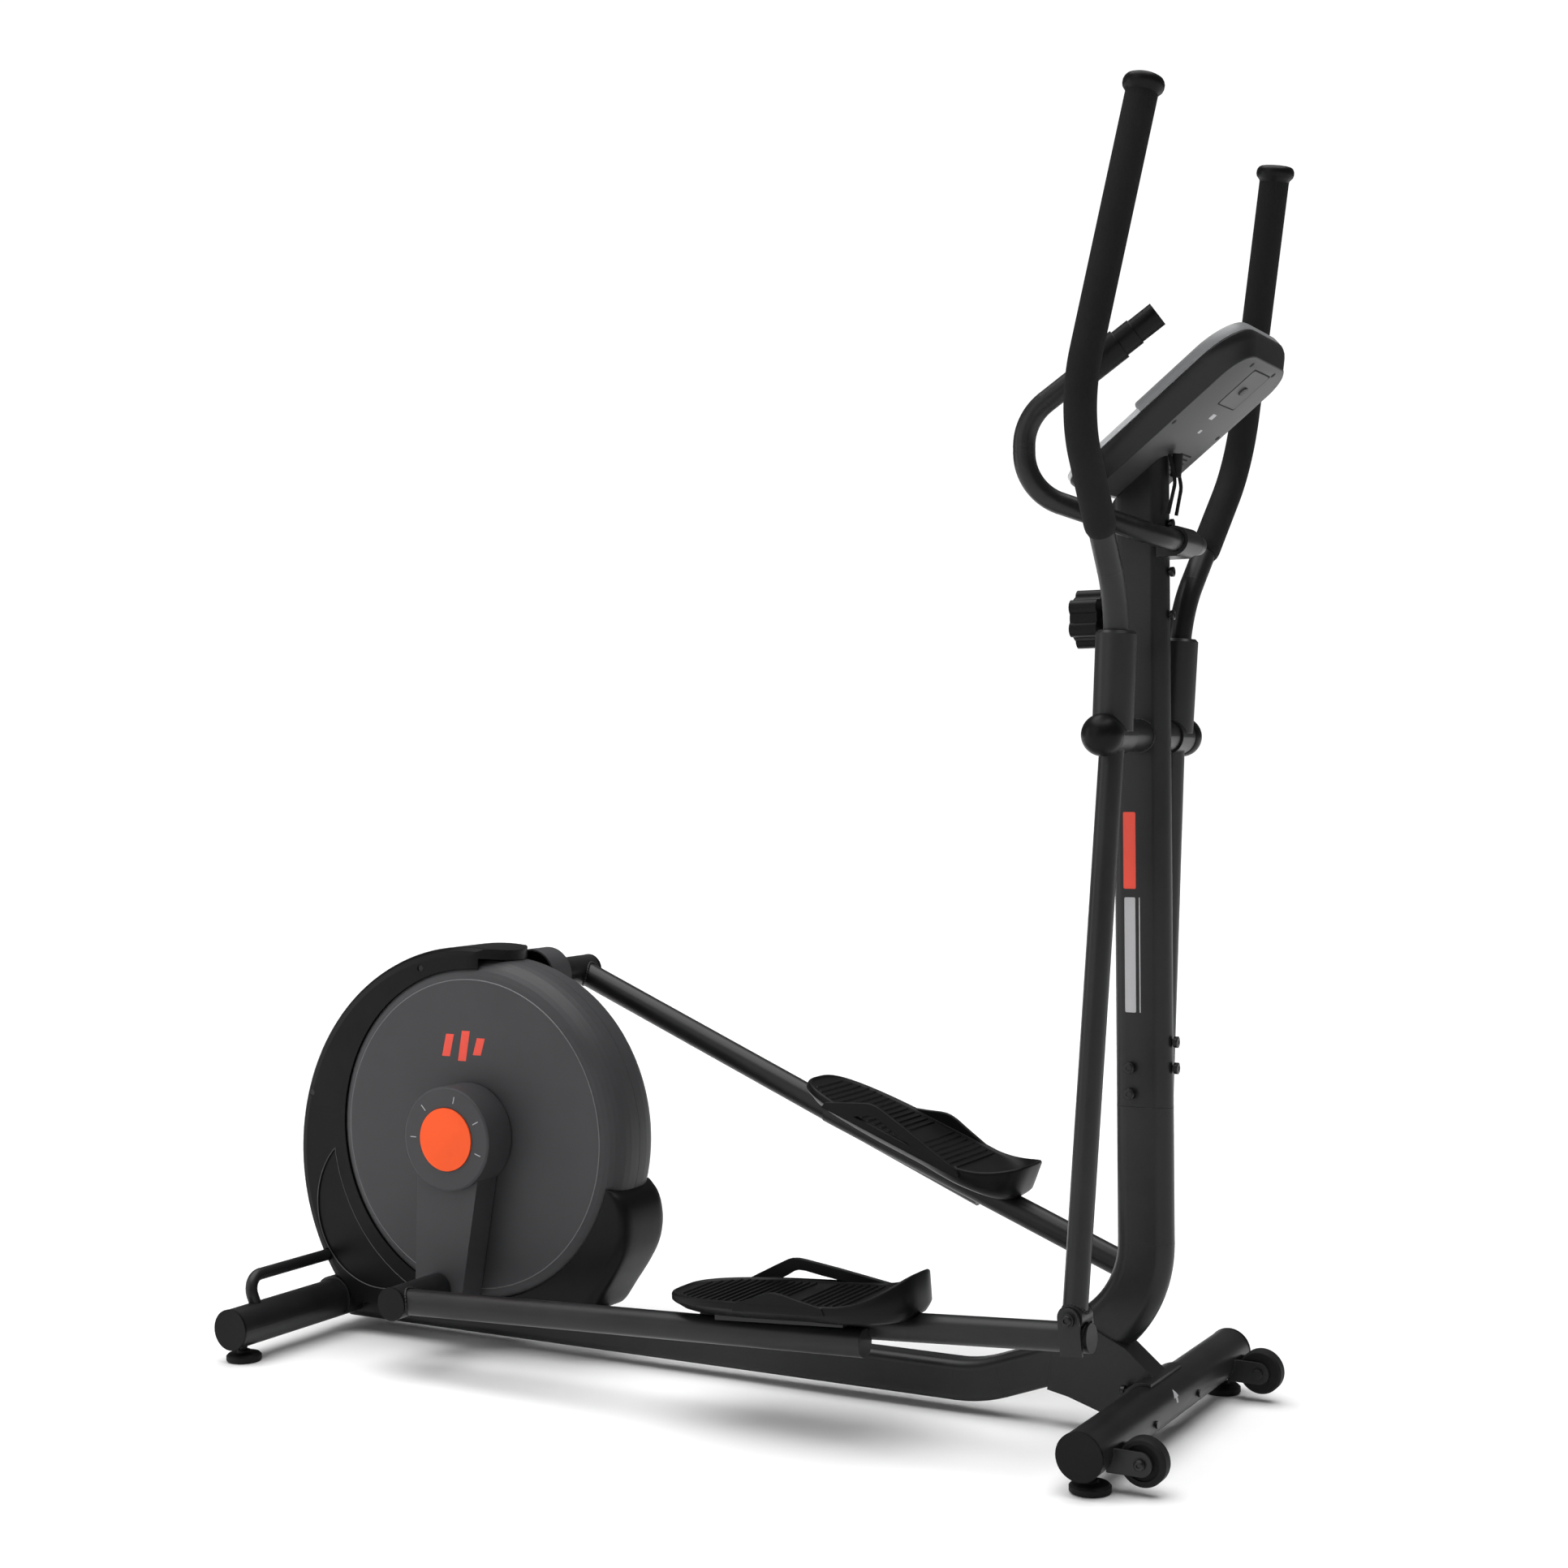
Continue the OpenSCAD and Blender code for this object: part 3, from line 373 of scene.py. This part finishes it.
def make_marks():
    for side, s in SIDES.items():
        for name, mat, z0, z1, x, w in (("mast_mark_a_", "mark_orange", 717, 817, -30, 17),
                                        ("mast_mark_b_", "mark_light", 556, 706, -30, 15),
                                        ("mast_mark_c_", "mark_light", 556, 706, -17, 1.6)):
            bm = bmesh.new()
            plate(bm, bar_outline((z1 - z0) / 1000, w / 1000, 0.0007 if w < 5 else 0.002),
                  P(x, s * 19.02, (z0 + z1) / 2), (0, 0, 1), (s, 0, 0), MARK)
            piece(name + side, bm, "frame_paint", "frame", mat, smooth=False)
        bm = bmesh.new()
        for h, dx in ((34, -30), (46, 0), (26, 28)):
            out = [(-0.009, -h / 2000), (0.006, -h / 2000), (0.014, h / 2000), (-0.001, h / 2000)]
            plate(bm, [(a * -s, b) for a, b in out][::-s], P(-1083 - dx * s, s * 60.95, 462), (-s, 0, 0), (0, 0, 1),
                  MARK)
        piece("drum_mark_" + side, bm, "grey_plastic", "frame", "mark_orange", smooth=False)
        bm = bmesh.new()
        for deg in (-18, 27, 76, 133, 180):
            a = math.radians(deg)
            u = Vector((math.cos(a) * -s, 0, math.sin(a)))
            v = Vector((math.sin(a) * s, 0, math.cos(a)))
            plate(bm, bar_outline(0.011, 0.0014, 0.0005), CRANK + u * 0.061 + Vector((0, s * 0.12198, 0)), u, v,
                  math.copysign(MARK, u.cross(v).y * s))
        piece("hub_ticks_" + side, bm, "grey_plastic", "crank", "mark_light", smooth=False)
    # small arrow wrapped on the front of the front tube: rows of (distance up the tube, half width), millimetres
    rows = [(-9 + i, 3.0) for i in range(8)] + [(-1.99 + i, 8.0 * (1 - i / 11.0) + 0.2) for i in range(12)]
    bm = bmesh.new()
    rings = []
    for along, half in rows:
        a = math.radians(24) + along / 30
        rings.append([bm.verts.new(P(r * math.cos(a), -18 + w, 51 + r * math.sin(a)))
                      for r, w in ((30.12, -half), (30.12, half), (29.9, half), (29.9, -half))])
    stack(bm, rings)
    piece("tube_mark", bm, "frame_paint", "frame", "mark_light", smooth=False)


# ---- button-head bolts with a hex socket ----
def button(bm, at, axis, r, h):
    """A domed head of radius r and height h, with a hex socket down its middle."""
    axis = Vector(axis).normalized()
    a = axis.orthogonal().normalized()
    b = axis.cross(a)
    seg = 36
    dome = ((0, 1), (0.45, 1), (0.72, 0.93), (0.92, 0.76), (1, 0.56))
    rings = [circle(bm, at + axis * h * t, a, b, r * q, seg) for t, q in dome]
    for t, q in ((1, 0.46), (0.35, 0.44)):
        ring = []
        for k in turns(seg):
            f = r * q * math.cos(math.pi / 6) / math.cos((k % (math.pi / 3)) - math.pi / 6)
            ring.append(bm.verts.new(at + axis * h * t + (a * math.cos(k) + b * math.sin(k)) * f))
        rings.append(ring)
    stack(bm, rings)


def make_bolts():
    bm = bmesh.new()
    for z in (450, 484):
        button(bm, P(-31, -26, z), (0, -1, 0), 0.0074, 0.0018)
        button(bm, P(26.5, 0, z + 34), (1, 0, 0), 0.0074, 0.0018)
    for z in (1072, 1128, 1190):
        button(bm, P(25.5, 0, z), (1, 0, 0), 0.0064, 0.0018)
    piece("bolt_heads", bm, "steel", "frame", "bolt_black")
    for k, s in SIDES.items():
        bm = bmesh.new()
        button(bm, BAR[k](1046, 196.8, 0), (0, s, 0), 0.0072, 0.0034)
        piece("joint_screw_" + k, bm, "steel", "bar_" + k, "bolt_black")
    ys = [(NODES["wheel_bolts"].matrix_world @ q.co).y for q in NODES["wheel_bolts"].data.vertices]
    bm = bmesh.new()
    for s in (-1, 1):
        at = P(63, 0, 41)
        at.y = (min(ys) if s < 0 else max(ys)) - s * 0.0002
        button(bm, at, (0, s, 0), 0.0062, 0.0026)
    piece("wheel_screws", bm, "steel", "frame", "bolt_black")


# ---- weld beads ----
def bead(bm, points, r, wave=0.0004, seg=10):
    """A closed bead round the points; wave is the height of a weld's ripples."""
    n = len(points)
    rings = []
    a = None
    for i in range(n):
        t = (points[(i + 1) % n] - points[i - 1]).normalized()
        a = t.orthogonal().normalized() if a is None else (a - t * a.dot(t)).normalized()
        rings.append(circle(bm, points[i], a, t.cross(a), r + wave * math.sin(i * 2.1), seg))
    for i in range(n):
        r0, r1 = rings[i], rings[(i + 1) % n]
        shift = 0
        if i == n - 1:
            shift = min(range(seg), key=lambda z: (r0[0].co - r1[z].co).length)
        for j in range(seg):
            bm.faces.new((r0[j], r0[(j + 1) % seg], r1[(j + 1 + shift) % seg], r1[(j + shift) % seg]))


def saddle(at, along, r_tube, r_host):
    """Where a tube along x meets a round host that runs along y; along places the point in the frame of at."""
    pts = []
    for a in turns(96):
        y, z = r_tube * math.cos(a), r_tube * math.sin(a)
        x = math.sqrt(max(r_host ** 2 - z * z, 0))
        pts.append(at(*along(x, y, z)))
    return pts


def make_beads():
    for k, s in SIDES.items():
        bm = bmesh.new()
        bead(bm, saddle(BAR[k], lambda x, y, z: (x, 200.5 + y, z), 19, 24), 0.0022)
        piece("bar_weld_" + k, bm, "frame_paint", "bar_" + k)
        bm = bmesh.new()
        bead(bm, saddle(ARM[k], lambda x, y, z: (z, 166 + y, -727 + x), 16, 17.2), 0.0018)
        piece("arm_weld_" + k, bm, "frame_paint", "swing_" + k)
        bm = bmesh.new()
        bead(bm, [P(-16 + 21.2 * math.cos(a), s * 18.9, 916 + 21.2 * math.sin(a)) for a in turns(80)], 0.0019)
        piece("pivot_weld_" + k, bm, "frame_paint", "frame")


# ---- console: tapered shell with sides darkened by painted shade, grey back panel, light lower panel, silver head ----
CON = math.radians(38)
CON_LENGTH, CON_HALF = 292, 113     # its length up the slope and half its width, millimetres
TOP_CORNER = 60                     # radius of the two upper corners
CORNER_STEPS = 10


def con(x, y, z):
    """A point in the console's own frame: x up its slope, z out of its face, millimetres."""
    return P(-60 + x * math.cos(CON) - z * math.sin(CON), y, 1216 + x * math.sin(CON) + z * math.cos(CON))


def con_ring(bm, inset, z, x0):
    """One ring of the console's outline, pulled in by inset, at height z; x0 starts it part of the way up."""
    r0, r1 = (24 if x0 == 0 else 5), TOP_CORNER
    pts = []
    for cx, cy, r, a0 in ((CON_LENGTH - r1, CON_HALF - r1, r1, 0), (x0 + r0, CON_HALF - r0, r0, 90),
                          (x0 + r0, -(CON_HALF - r0), r0, 180), (CON_LENGTH - r1, -(CON_HALF - r1), r1, 270)):
        q = max(r - inset, 0.6)
        for i in range(CORNER_STEPS + 1):
            a = math.radians(a0 + 90 * i / CORNER_STEPS)
            pts.append((cx + q * math.cos(a), cy + q * math.sin(a), z))
    return [bm.verts.new(con(*c)) for c in pts]


def con_part(rows, x0=0):
    """A part of the console from rows of (inset, height)."""
    bm = bmesh.new()
    stack(bm, [con_ring(bm, i, z, x0) for i, z in rows])
    return bm


def make_console():
    bm = con_part(((22, 0.6), (20, 0.6), (18.6, 0.7), (17.6, 1.6), (16.4, 4.0), (5.0, 16.5), (2.2, 20.5), (0.6, 24.5),
                   (0.0, 28.5), (0.5, 29.4), (1.6, 29.9)))
    # the shell's sloping sides are painted darker as shade
    shell = piece("console_shell", bm, "grey_plastic", "frame", "shell_painted_shade", angle=32)
    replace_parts(shell, "console_back")
    bm = con_part(((19.2, 0.8), (19.2, 0.2), (19.7, 0.0)))
    piece("console_back_panel", bm, "grey_plastic", "frame", "shell_grey", angle=32)
    bm = con_part(((2, 30.0), (1.0, 30.6), (1.0, 35.4), (1.9, 37.0), (3.6, 38.0)))
    panel = piece("console_panel", bm, "console_panel", "frame", angle=40)
    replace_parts(panel, "console_face")
    bm = con_part(((0.4, 30.2), (0.2, 33), (0.6, 40.6), (2.2, 43.8), (5.0, 45.0)), 128)
    piece("console_head", bm, "grey_plastic", "frame", "head_grey", angle=40)
    # raised frame round the window
    bm = bmesh.new()
    out = [con(206 + a * 1000, b * 1000, 45.6) for a, b in bar_outline(0.122, 0.154, 0.008, 5)]
    bead(bm, out, 0.0022, 0.0, 12)
    piece("window_frame", bm, "grey_plastic", "frame", "head_grey")
    # battery door with its finger latch, and the seam round it
    u, v, out_of_face = ((con(*axis) - con(0, 0, 0)).normalized() for axis in ((1, 0, 0), (0, 1, 0), (0, 0, 1)))
    bm = bmesh.new()
    plate(bm, bar_outline(0.0600, 0.0600, 0.003), con(227, 9, 1.0), v, u, 0.0014, 0.0006)
    plate(bm, bar_outline(0.0160, 0.0130, 0.0055), con(225, 9, -0.4), v, u, 0.0018, 0.0006)
    for i in range(4):
        plate(bm, bar_outline(0.0110, 0.0010, 0.0004), con(220.5 + 3 * i, 9, -2.2), v, u, 0.0006)
    door = piece("battery_door", bm, "grey_plastic", "battery_cover", "shell_grey")
    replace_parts(door, "battery_cover")
    # vent slots, screw holes and the seam, as thin near-black plates: painted shade in place of their depth
    bm = bmesh.new()
    for i in range(6):
        plate(bm, bar_outline(0.042, 0.0028, 0.0012), con(75.5 + i * 7, 48, 0.15), v, u, 0.0003)
    for x, y in ((34, -88), (34, 88), (150, -84), (150, 84), (262, -44), (262, 44)):
        plate(bm, [(0.0038 * math.cos(a), 0.0038 * math.sin(a)) for a in turns(20)], con(x, y, 0.15), v, u, 0.0003)
    plate(bm, bar_outline(0.0640, 0.0640, 0.003), con(227, 9, 0.12), v, u, 0.0002)
    piece("console_openings", bm, "black_plastic", "frame", "opening_painted_shade", smooth=False)
    bm = bmesh.new()
    for x, y, a, b in ((176, 4, 0.013, 0.009), (150, 14, 0.008, 0.006)):
        plate(bm, bar_outline(a, b, 0.001), con(x, y, -0.05), v, u, 0.0001)
    piece("console_stickers", bm, "console_panel", "frame", "mark_light", smooth=False)
    # red button: a soft dome, and two grey keys
    bm = bmesh.new()
    lathe(bm, [(0.0355, 0), (0.0355, 0.0138), (0.0405, 0.0140), (0.0425, 0.0136), (0.0442, 0.0122), (0.0456, 0.0095),
               (0.0464, 0.0055), (0.0467, 0)], con(104, 0, 0), out_of_face, 48)
    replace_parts(piece("stop_dome", bm, "stop_red", "stop_button"), "stop_button")
    for k, s in SIDES.items():
        bm = bmesh.new()
        lathe(bm, [(0.0355, 0), (0.0355, 0.0128), (0.0400, 0.0130), (0.0410, 0.0125), (0.0414, 0.0110),
                   (0.0411, 0.004), (0.0410, 0)], con(62, s * 58, 0), out_of_face, 40)
        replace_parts(piece("key_cap_" + k, bm, "key_grey", "key_" + k), "key_" + k)


# ---- footplates: rounded rim, ribbed deck, two guards and the rising toe cup ----
BAR_TOP = math.asin(27 / math.hypot(1062, 27))      # slope of the footplate against the line of the bar's joints
FOOT_HALF, FOOT_WIDE = 183.4, 82.9                  # half its length and half its width, millimetres
FOOT_AT, FOOT_OUT = 651, 168                        # its middle, from the crank pin and from the machine's middle
CUP_START = 90
# rim rows: inset, height, share of the toe rise, tuck of the underside
RIM = ((40, 11.2, 0, 0), (16, 12.5, 0, 10), (7, 17, 0, 8), (3.5, 22, 0, 5), (1.2, 26, 0, 1.5), (0, 29, 0, 0),
       (0, 34.8, 0.2, 0), (0.3, 36.4, 1, 0), (1.4, 38.0, 1, 0), (3.0, 38.7, 1, 0), (4.6, 38.2, 1, 0),
       (5.8, 36.9, 0.96, 0), (7.2, 36.1, 0.82, 0), (11, 35.6, 0.52, 0), (17, 35.3, 0.27, 0), (26, 35.1, 0.09, 0),
       (38, 35.02, 0, 0))
# guards, seen from the side: the inner one is a raised wall with a long opening, the outer one a low wall
INNER = ((-124, 28), (-121, 36), (-98, 46.5), (-74, 57.5), (-59, 64), (-52, 66), (-42, 66.4), (-32, 65), (20, 55),
         (60, 46.5), (90, 40), (104, 37), (110, 33), (110, 28))
OPENING = ((-72, 36.6), (-60, 42.5), (-49, 48.5), (-41, 50.4), (-31, 49.6), (-6, 44.2), (18, 39.6), (34, 36.6))
OUTER = ((-56, 28), (-54, 36), (-30, 43.5), (-10, 50.5), (0, 53), (8, 53.4), (19, 52), (46, 44.8), (78, 37),
         (82, 28))


def pedal_ring(inset):
    """Outline of the footplate, pulled in; u along the bar, v across it."""
    out = []
    for a in turns(144):
        c, d = math.cos(a), math.sin(a)
        e = 0.86 if c < 0 else 0.62
        out.append((math.copysign(abs(c) ** e, c) * (FOOT_HALF - inset),
                    math.copysign(abs(d) ** 0.62, d) * (FOOT_WIDE - inset)))
    return out


def cup_rise(u):
    """Rise of the rim at u: none up to the start of the cup, then growing to the toe."""
    return 33.3 * min(max((u - CUP_START) / (FOOT_HALF - CUP_START), 0), 1) ** 1.9


def make_guard(bm, spot, v0, v1, line, gap):
    """A wall from v0 to v1 under line, with rounded edges and an opening where gap is given."""
    walls = [[bm.verts.new(spot(u, v, n - cut)) for u, n in line]
             for v, cut in ((v0, 1.1), (v0 + 1.1, 0), (v1 - 1.1, 0), (v1, 1.1))]
    for r0, r1 in zip(walls, walls[1:]):
        for i in range(len(r0) - 1):
            bm.faces.new((r0[i], r0[i + 1], r1[i + 1], r1[i]))
    bm.faces.new([w[0] for w in walls] + [w[-1] for w in reversed(walls)])
    if not gap:
        bm.faces.new(walls[0])
        bm.faces.new(walls[-1])
        return
    rims = []
    for v, w in ((v0, walls[0]), (v1, walls[3])):
        ring = [bm.verts.new(spot(u, v, n)) for u, n in gap]
        rims.append(ring)
        edges = [bm.edges.new((ring[i], ring[(i + 1) % len(ring)])) for i in range(len(ring))]
        edges += [bm.edges.get((w[i - 1], w[i % len(w)])) for i in range(1, len(w) + 1)]
        bmesh.ops.triangle_fill(bm, edges=edges, use_beauty=True)
    for i in range(len(gap)):
        j = (i + 1) % len(gap)
        bm.faces.new((rims[0][i], rims[0][j], rims[1][j], rims[1][i]))


def make_pedals():
    for k, s in SIDES.items():
        angle = math.atan2(LOWER[k].z - PIN[k].z, LOWER[k].x - PIN[k].x)
        at = turned(PIN[k], -angle + BAR_TOP, s)

        def spot(u, v, n):
            return at(FOOT_AT + u, FOOT_OUT + v, n)
        bm = bmesh.new()
        rings = []
        for inset, n, up, tuck in RIM:
            ring = []
            for (u, v), (u2, v2), (uo, vo) in zip(pedal_ring(inset), pedal_ring(inset + tuck), pedal_ring(0)):
                t = min(max((110 - uo) / 60, 0), 1)
                ring.append(bm.verts.new(spot(u + (u2 - u) * t, v + (v2 - v) * t, n + cup_rise(uo) * up)))
            rings.append(ring)
        stack(bm, rings)
        for i in range(23):
            u = -160 + i * 11.6
            if 0 < u < 22:
                continue
            half = 70 * min(1, max(0.15, (u + 184) / 62)) ** 0.5 - 4
            stack(bm, [[bm.verts.new(spot(u + x * a, y * b, n)) for x, y in ((-1, -1), (1, -1), (1, 1), (-1, 1))]
                       for a, b, n in ((2.6, half, 34.8), (1.7, half - 1.2, 37.2))])
        make_guard(bm, spot, -82.3, -76.0, INNER, OPENING)
        make_guard(bm, spot, 76.0, 82.3, OUTER, None)
        tread = piece("footplate_" + k, bm, "black_plastic", "bar_" + k, angle=38)
        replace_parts(tread, "pedal_" + k)


# ---- lips round the drum face and the leaf recess, lighter than their plastic as a painted highlight, rounded front cover ----
BAND = 0.272        # where the leaf recess ends, from the crank axis, metres
LEAF = 0.1242       # radius of the leaf's outer edge


def make_lips():
    centre = P(-1250, 0, 200.6)
    for k, s in SIDES.items():
        bm = bmesh.new()
        bead(bm, [CRANK + Vector((0.2328 * math.cos(a), s * 0.0602, 0.2328 * math.sin(a))) for a in turns(240)],
             0.0009, 0.0, 8)
        # the drum lip's light grey is a painted highlight
        piece("drum_lip_" + k, bm, "grey_plastic", "frame", "lip_painted_highlight")
        # the part of the leaf's circle outside the band, closed along the band
        line = [centre + Vector((LEAF * math.cos(a), 0, LEAF * math.sin(a))) for a in turns(400)]
        line = [q for q in line if (q - CRANK).length > BAND]
        cut = max(range(len(line)), key=lambda i: (line[i] - line[i - 1]).length)
        line = line[cut:] + line[:cut]
        a0, a1 = [math.atan2((q - CRANK).z, (q - CRANK).x) for q in (line[-1], line[0])]
        if abs(a1 - a0) > math.pi:
            a1 += math.copysign(2 * math.pi, a0 - a1)
        line += [CRANK + Vector((BAND * math.cos(a), 0, BAND * math.sin(a)))
                 for a in (a0 + (a1 - a0) * t / 40 for t in range(1, 40))]
        bm = bmesh.new()
        bead(bm, [Vector((q.x, s * 0.0567, q.z)) for q in line], 0.0009, 0.0, 8)
        # the leaf lip's dark grey is a painted highlight on the black plastic
        piece("leaf_lip_" + k, bm, "black_plastic", "frame", "leaf_lip_painted_highlight")


def make_front_cover():
    """The rounded cover in front of the drum: its side line, smoothed, with one ring across it at each point."""
    key = [(-824, 263.4), (-815, 259), (-804.5, 249), (-797, 231), (-794.2, 204), (-800, 174), (-816, 144),
           (-840, 110), (-865, 77), (-885, 76.3), (-950, 76.3), (-1020, 76.3)]
    line = []
    for i in range(len(key) - 1):
        a, b, c, d = (Vector((*key[min(max(j, 0), len(key) - 1)], 0)) for j in (i - 1, i, i + 1, i + 2))
        for t in (q / 8 for q in range(8)):
            line.append(0.5 * ((2 * b) + (c - a) * t + (2 * a - 5 * b + 4 * c - d) * t * t
                               + (3 * b - a - 3 * c + d) * t ** 3))
    line.append(Vector((*key[-1], 0)))
    # across it: distance below the surface, distance from the middle
    half = [(30, 56.9), (17, 56.9), (12, 56.2), (7.5, 54.2), (4, 51.0), (1.6, 46.5), (0.4, 41), (0, 34), (0, 17),
            (0, 0)]
    across = [(i, -y) for i, y in half] + [(i, y) for i, y in reversed(half[:-1])]
    crank_x, crank_z, drum_r = -1069, 330, 250
    bm = bmesh.new()
    rings = []
    for q in line:
        d = Vector((q.x - crank_x, 0, max(q.y, 76.4) - crank_z))
        far = d.length
        room = max(far - drum_r, 0.6)
        ring = []
        for i, y in across:
            back = room if i == 30 else min(i, room * i / 20)
            w = d / far * (far - back)
            ring.append(bm.verts.new(P(w.x + crank_x, y, w.z + crank_z)))
        rings.append(ring)
    stack(bm, rings)
    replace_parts(piece("front_cover", bm, "black_plastic", "frame", angle=40), "shroud_front")


make_grips()
make_pedals()
make_lips()
make_front_cover()
make_console()
make_marks()
make_bolts()
make_beads()


# ---- floor, light ----
def make_stage():
    bm = bmesh.new()
    bmesh.ops.create_grid(bm, x_segments=1, y_segments=1, size=30)
    me = bpy.data.meshes.new("floor")
    bm.to_mesh(me)
    bm.free()
    floor = link_object("floor", me)
    floor.location = (0, 0, -0.0005)
    m = bpy.data.materials.new("floor")
    m.use_nodes = True
    set_inputs(m.node_tree.nodes["Principled BSDF"], Base_Color=(0.95, 0.95, 0.95, 1), Roughness=0.9,
               Specular_IOR_Level=0.1)
    me.materials.append(m)
    # the world is white where the camera sees it, and a dim fill on the machine
    world = bpy.data.worlds.new("world")
    world.use_nodes = True
    nt = world.node_tree
    n, link = nt.nodes, nt.links
    dim = n["Background"]
    set_inputs(dim, Color=(1, 1, 1, 1), Strength=0.12)
    seen = n.new("ShaderNodeBackground")
    set_inputs(seen, Color=(1, 1, 1, 1), Strength=1.05)
    path, mix = n.new("ShaderNodeLightPath"), n.new("ShaderNodeMixShader")
    link.new(path.outputs["Is Camera Ray"], mix.inputs["Fac"])
    link.new(dim.outputs["Background"], mix.inputs[1])
    link.new(seen.outputs["Background"], mix.inputs[2])
    link.new(mix.outputs["Shader"], n["World Output"].inputs["Surface"])
    bpy.context.scene.world = world


def sun(name, to, strength, angle):
    data = bpy.data.lights.new(name, "SUN")
    data.energy, data.angle = strength, math.radians(angle)
    link_object(name, data).rotation_euler = Vector(to).to_track_quat("-Z", "Y").to_euler()


def area(name, at, to, size, power):
    data = bpy.data.lights.new(name, "AREA")
    data.shape = "RECTANGLE"
    data.size, data.size_y = size
    data.energy = power
    o = link_object(name, data)
    o.location = at
    o.rotation_euler = (Vector(to) - Vector(at)).to_track_quat("-Z", "Y").to_euler()


make_stage()
sun("overhead", (0.05, 0.02, -1), 3.5, 70)
sun("front", (0.42, 0.84, -0.36), 0.55, 45)
area("side", (-3.4, -1.6, 1.7), (-0.4, 0, 0.7), (0.8, 2.6), 22)
bpy.context.scene.view_settings.view_transform = "Standard"
